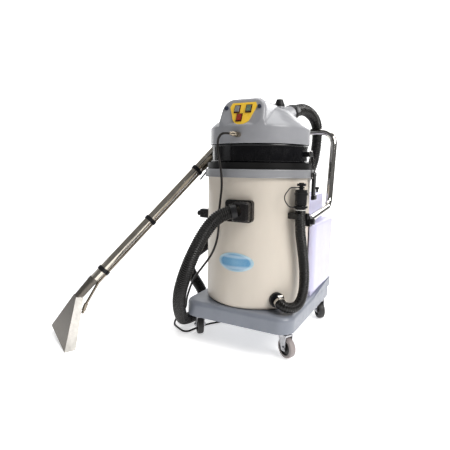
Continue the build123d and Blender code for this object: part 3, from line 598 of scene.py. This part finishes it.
def caster_details(short):
    """A wheel with a crowned tyre and a stepped hub, and the axle's nuts on the fork."""
    (x, y), heading, tyre = CASTERS[short]
    turn = math.radians(heading)
    centre = mm(x + CASTER_TRAIL * math.cos(turn), y + CASTER_TRAIL * math.sin(turn), AXLE_HEIGHT)
    axle = Vector((-math.sin(turn), math.cos(turn), 0))
    bm = bmesh.new()
    crown = [(27, -11.4), (33.5, -11.6), (36.2, -10), (37.1, -6), (37.4, 0), (37.1, 6), (36.2, 10),
             (33.5, 11.6), (27, 11.4), (27, 9)]
    turned(bm, crown, centre, axle, 72)
    tyre_faces = len(bm.faces)
    hub = [(27, 9.5), (25, 9), (24, 6), (13, 6), (11.5, 8), (11, 11.8), (5.2, 11.9)]
    turned(bm, hub, centre, axle, 48)
    turned(bm, [(radius, -height) for radius, height in hub], centre, axle, 48)
    for index, face in enumerate(bm.faces):
        face.material_index = 0 if index < tyre_faces else 1
    wheel = from_bmesh(f"wheel_look_{short}", bm, tyre, f"wheel_{short}")
    wheel.data.materials.append(hub_black)
    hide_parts(f"wheel_{short}")
    bm = bmesh.new()
    for side in (-1, 1):
        start = centre + axle * side * 0.0165
        turned(bm, [(0.01, 0), (8.4, 0), (8.4, 3.4), (7.4, 4.4), (4.5, 4.6), (4.2, 6.4), (0.01, 6.6)],
               start, axle * side, 6)
    from_bmesh(f"axle_nuts_{short}", bm, zinc, f"fork_{short}", crease=25)


for short_name in CASTERS:
    caster_details(short_name)


# Small details

def screws(name, places, normal, radius, material):
    """Pan-head screws with a round socket."""
    bm = bmesh.new()
    for place in places:
        outline = [(1, 0), (1, 0.25), (0.8, 0.5), (0.35, 0.62), (0.3, 0.25), (0.0003, 0.2)]
        turned(bm, [(radius * out, radius * high) for out, high in outline], place, normal, 18)
    return from_bmesh(name, bm, material)


INLET_SCREWS = [mm(x, -189.5, z) for x in (-28, 58) for z in (483, 545)]
screws("inlet_screws", INLET_SCREWS, (0, -1, 0), 3.4, zinc)


def drain_tie():
    """The pale tie that holds the plug's strap on the drain hose."""
    bm = bmesh.new()
    band = [(18.8, 520), (20.2, 520.3), (20.5, 521.5), (20.2, 522.7), (18.8, 523)]
    turned(bm, band, mm(203, -103), UPWARD, 40)
    return from_bmesh("drain_tie", bm, tie_white)


drain_tie()


def port_sleeve():
    """The rubber sleeve that seals the blow port just ahead of the hose's cuff."""
    bm = bmesh.new()
    turned(bm, [(28, -25), (30, -24.5), (30.6, -23), (30.6, 0), (28, 0.5)], mm(86, 108, 877), (4, 72, 21), 48)
    return from_bmesh("port_sleeve", bm, dark_plastic)


port_sleeve()


# Stage

BACKDROP_AZIMUTH = 118.26
FLOOR_RADIUS = 6500


def along(nodes, links, coords, direction):
    """How far a point lies along a direction."""
    node = nodes.new("ShaderNodeVectorMath")
    node.operation = "DOT_PRODUCT"
    node.inputs[1].default_value = direction
    links.new(coords, node.inputs[0])
    return node.outputs["Value"]


def reckon(nodes, links, operation, *terms):
    node = nodes.new("ShaderNodeMath")
    node.operation = operation
    for socket, term in zip(node.inputs, terms):
        if isinstance(term, float):
            socket.default_value = term
        else:
            links.new(term, socket)
    return node.outputs["Value"]


def stage_material(name, near, far):
    """Pale matt paper that glows in a wedge behind the machine and is dim at both sides of it."""
    material, nodes, links, shader = start_material(name)
    coords = nodes.new("ShaderNodeTexCoord").outputs["Object"]
    tone = noise(nodes, links, coords, 2, 3)
    tint = ramp(nodes, links, tone, [(0.2, (0.88, 0.88, 0.88)), (0.8, (0.9, 0.9, 0.9))])
    links.new(tint, shader.inputs["Base Color"])
    shader.inputs["Roughness"].default_value = 0.8
    shader.inputs["Specular IOR Level"].default_value = 0.0
    shader.inputs["Emission Color"].default_value = (1, 1, 1, 1)
    behind = along(nodes, links, coords, (-0.4735, 0.8808, 0))
    beside = reckon(nodes, links, "ABSOLUTE", along(nodes, links, coords, (0.8808, 0.4735, 0)))
    outside = reckon(nodes, links, "SUBTRACT", beside, reckon(nodes, links, "MULTIPLY", behind, 0.62))
    glow = span(nodes, links, behind, near, far, 0.9, 3.0)
    wedge = span(nodes, links, outside, 1.0, 0.1, 1.35, 2.1)
    links.new(reckon(nodes, links, "MULTIPLY", glow, wedge), shader.inputs["Emission Strength"])
    return material


def make_stage():
    """A pale floor, and a backdrop that rises from it behind the machine."""
    white = stage_material("studio_white", 0.55, 0.98)
    bm = bmesh.new()
    turned(bm, [(1, 0), (FLOOR_RADIUS, 0)], Vector((0, 0, 0)), UPWARD, 96)
    from_bmesh("studio_floor", bm, white, None)
    bm = bmesh.new()
    sweep = ((6.4, 0.001), (7.3, 0.16), (7.8, 0.7), (7.95, 1.8), (7.95, 6.0))
    columns = []
    for turn in range(-20, 21):
        angle = math.radians(BACKDROP_AZIMUTH + 2 * turn)
        columns.append([bm.verts.new((reach * math.cos(angle), reach * math.sin(angle), height))
                        for reach, height in sweep])
    for left, right in zip(columns, columns[1:]):
        for low in range(4):
            bm.faces.new((left[low], right[low], right[low + 1], left[low + 1]))
    glow = stage_material("backdrop_white", 0.98, 0.98)
    from_bmesh("studio_backdrop", bm, glow, None)


def area_light(name, place, target, size, power, colour=(1, 1, 1)):
    data = bpy.data.lights.new(name, "AREA")
    data.shape = "RECTANGLE"
    data.size, data.size_y = size
    data.energy = power
    data.color = colour
    light = bpy.data.objects.new(name, data)
    scene.collection.objects.link(light)
    place, target = Vector(place), Vector(target)
    turn = (target - place).to_track_quat("-Z", "Y").to_matrix().to_4x4()
    light.matrix_world = Matrix.Translation(place) @ turn
    return light


make_stage()
world = bpy.data.worlds.new("studio_world")
world.use_nodes = True
world.node_tree.nodes["Background"].inputs["Color"].default_value = (1, 1, 1, 1)
world.node_tree.nodes["Background"].inputs["Strength"].default_value = 0.16
scene.world = world
middle_point = (0.15, 0.0, 0.5)
area_light("key_right", (2.6, -0.6, 2.3), middle_point, (1.6, 1.6), 74, (1.0, 0.98, 0.96))
area_light("top", (0.3, 0.4, 3.2), middle_point, (2.4, 2.4), 52)
area_light("left_fill", (-2.6, -1.8, 1.5), middle_point, (1.6, 1.6), 6, (0.97, 0.98, 1.0))
area_light("back_rim", (0.9, 2.8, 1.8), middle_point, (1.8, 1.2), 26)
scene.view_settings.view_transform = "Standard"
